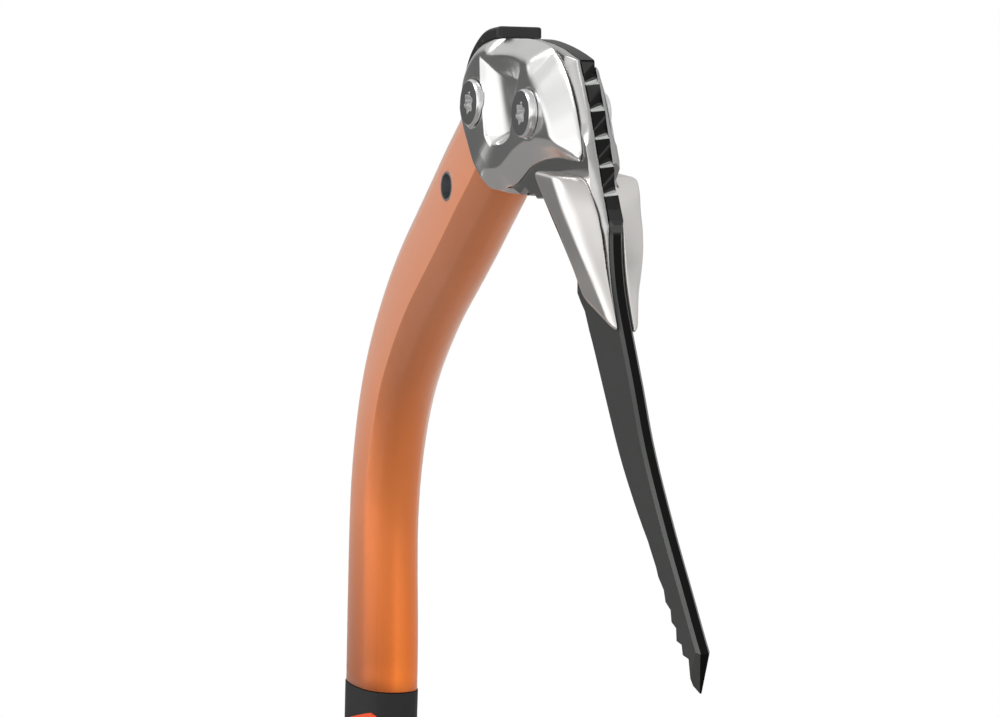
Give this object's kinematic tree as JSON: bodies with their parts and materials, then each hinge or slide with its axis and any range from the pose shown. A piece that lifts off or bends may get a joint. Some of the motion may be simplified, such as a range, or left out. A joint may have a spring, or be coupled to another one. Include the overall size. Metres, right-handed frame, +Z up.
{
  "type": "technical ice axe",
  "caption": "Curved-shaft technical ice axe with a bolted toothed pick, pick weights, small hammer, rubber grips, adjustable finger rest with cam lever and a bottom spike.",
  "frame": {"origin": "centre of the clip hole across the top of the shaft, on the tool's plane of symmetry", "axes": "+Z up along the lower shaft, +X forward to the side the pick points to, +Y across the tool to its right-hand side"},
  "size_m": [0.2459, 0.0268, 0.4874],
  "materials": {
    "shaft_anodised": "satin anodised",
    "bare_aluminium": "satin",
    "head_satin": "satin polished",
    "tongue_satin": "satin",
    "weight_satin": "bead-blasted satin",
    "pick_steel": "blackened",
    "hammer_black": "black oxide",
    "bolt_steel": "satin",
    "spike_steel": "satin",
    "grip_rubber": "matte",
    "mark_orange": "matte",
    "handle_rubber": "matte textured",
    "rest_plastic": "fine matte",
    "lever_orange": "satin"
  },
  "bodies": {
    "tool": {"shaft": "shaft_anodised", "clip_hole_bushing": "bare_aluminium", "head_body": "head_satin", "pick": "pick_steel", "tongue_plate_left": "tongue_satin", "tongue_plate_right": "tongue_satin", "pick_weight_left": "weight_satin", "pick_weight_right": "weight_satin", "weight_screw": "bolt_steel", "pick_bolts": "bolt_steel", "pick_nuts": "bolt_steel", "mini_hammer": "hammer_black", "upper_grip": "grip_rubber", "upper_grip_marks": "mark_orange", "upper_rest": "rest_plastic", "upper_rest_screw": "bolt_steel", "handle_grip": "handle_rubber", "end_plug": "bare_aluminium", "end_plug_pin": "bolt_steel", "spike": "spike_steel", "spike_bolts": "bolt_steel", "spike_nuts": "bolt_steel"},
    "finger_rest": {"lower_rest": "rest_plastic", "rest_lever_pin": "bolt_steel"},
    "lock_lever": {"rest_lever": "lever_orange"}
  },
  "joints": [
    {"name": "finger_rest_slide", "type": "slide", "parent": "tool", "child": "finger_rest", "axis": [-0.309, 0, 0.9511], "range_m": [0, 0.012]},
    {"name": "lock_lever_hinge", "type": "hinge", "parent": "finger_rest", "child": "lock_lever", "pos_m": [-0.04829, 0, -0.37945], "axis": [0, 1, 0], "range_deg": [0, 100]}
  ]
}
